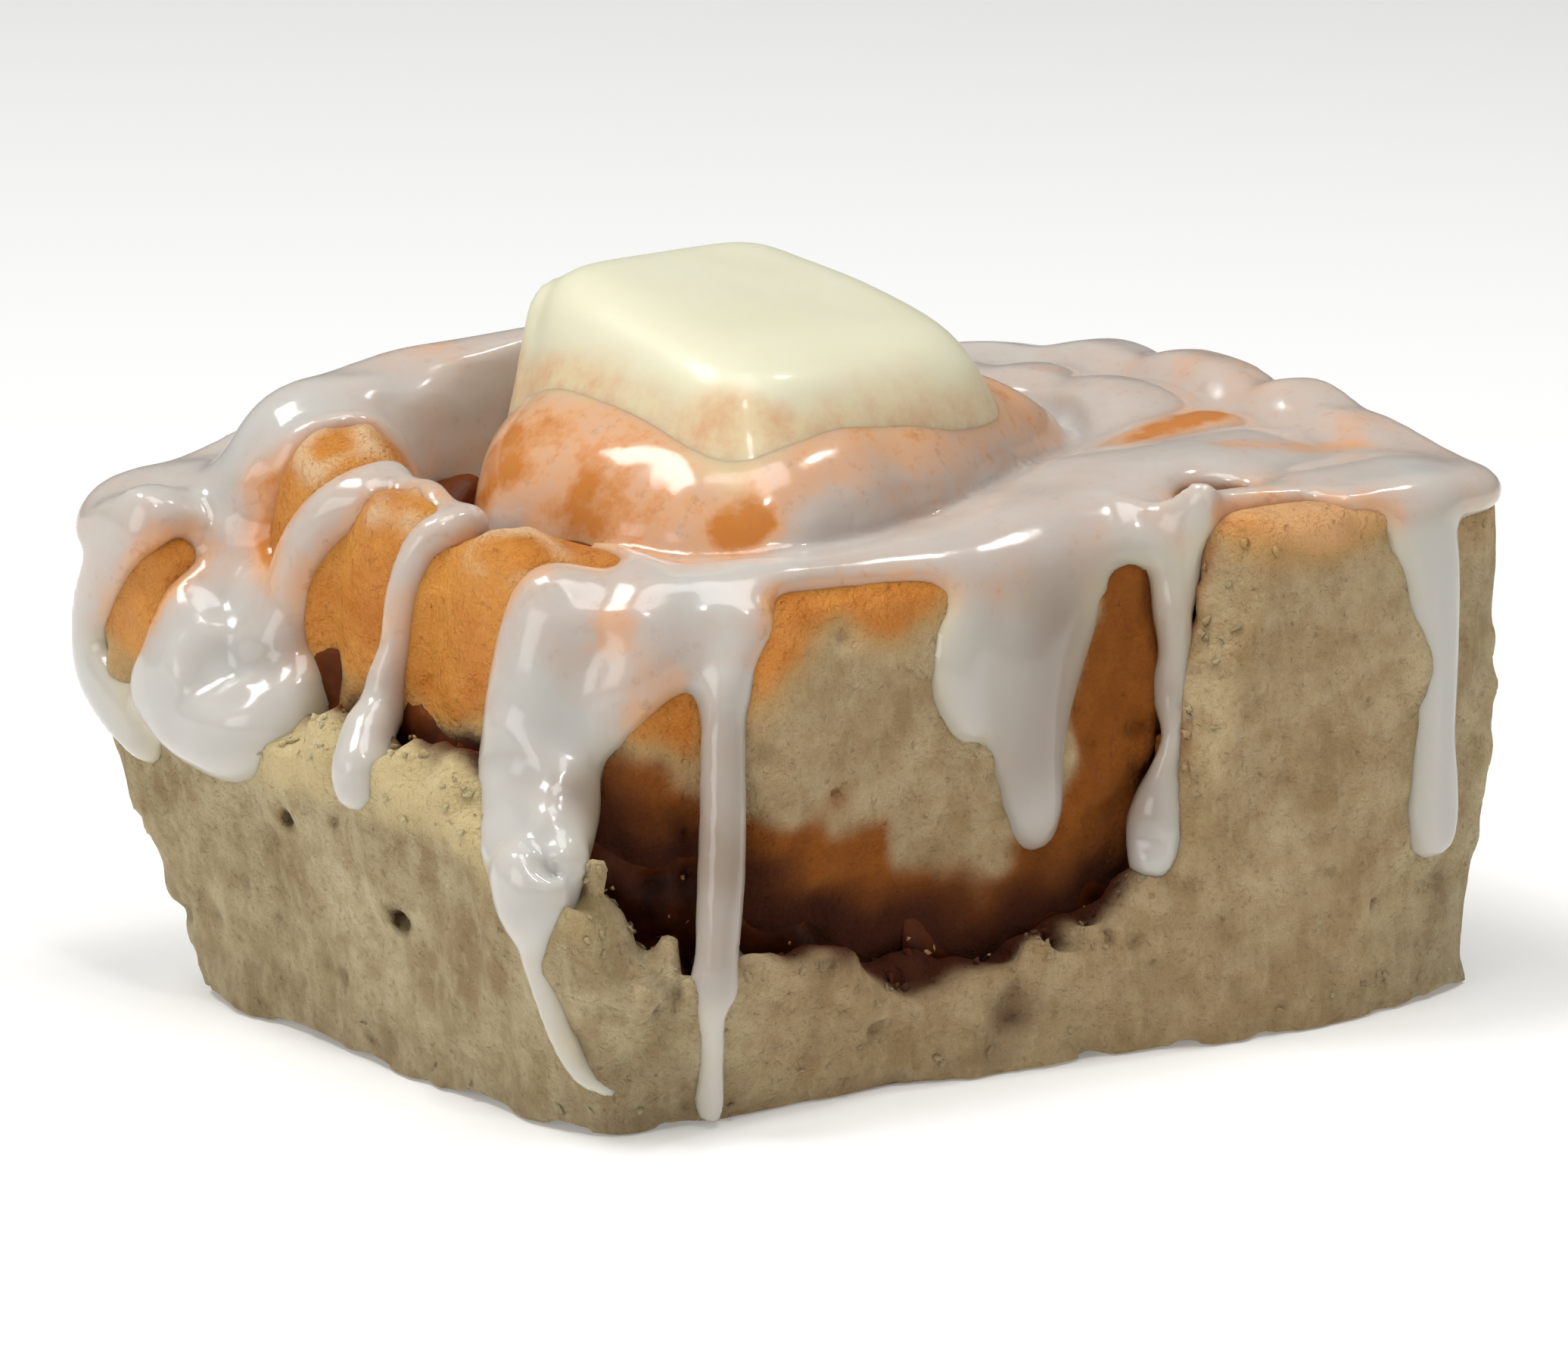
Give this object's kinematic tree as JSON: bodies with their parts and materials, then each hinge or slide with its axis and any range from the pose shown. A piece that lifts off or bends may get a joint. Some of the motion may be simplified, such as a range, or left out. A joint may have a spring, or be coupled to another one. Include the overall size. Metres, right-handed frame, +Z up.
{
  "type": "cinnamon roll",
  "caption": "Rolled yeast bun with cinnamon filling between its turns, a torn outer turn, dripping sugar icing and a pat of melting butter on its dome.",
  "frame": {"origin": "middle of the underside of the bounding box, on the surface that the roll rests on", "axes": "+Z up, +X along the roll's long side, -Y towards the long side where the filling shows, -X towards the short side that is torn low"},
  "size_m": [0.0906, 0.0686, 0.0563],
  "materials": {
    "baked_dough": "soft torn crumb with a golden brown crust on top",
    "cinnamon_filling": "dark brown sticky sugar and cinnamon",
    "sugar_icing": "wet translucent milky icing",
    "melting_butter": "soft shiny pale yellow butter"
  },
  "bodies": {
    "root": {"dough": "baked_dough", "filling": "cinnamon_filling", "icing": "sugar_icing", "butter": "melting_butter"}
  },
  "joints": []
}
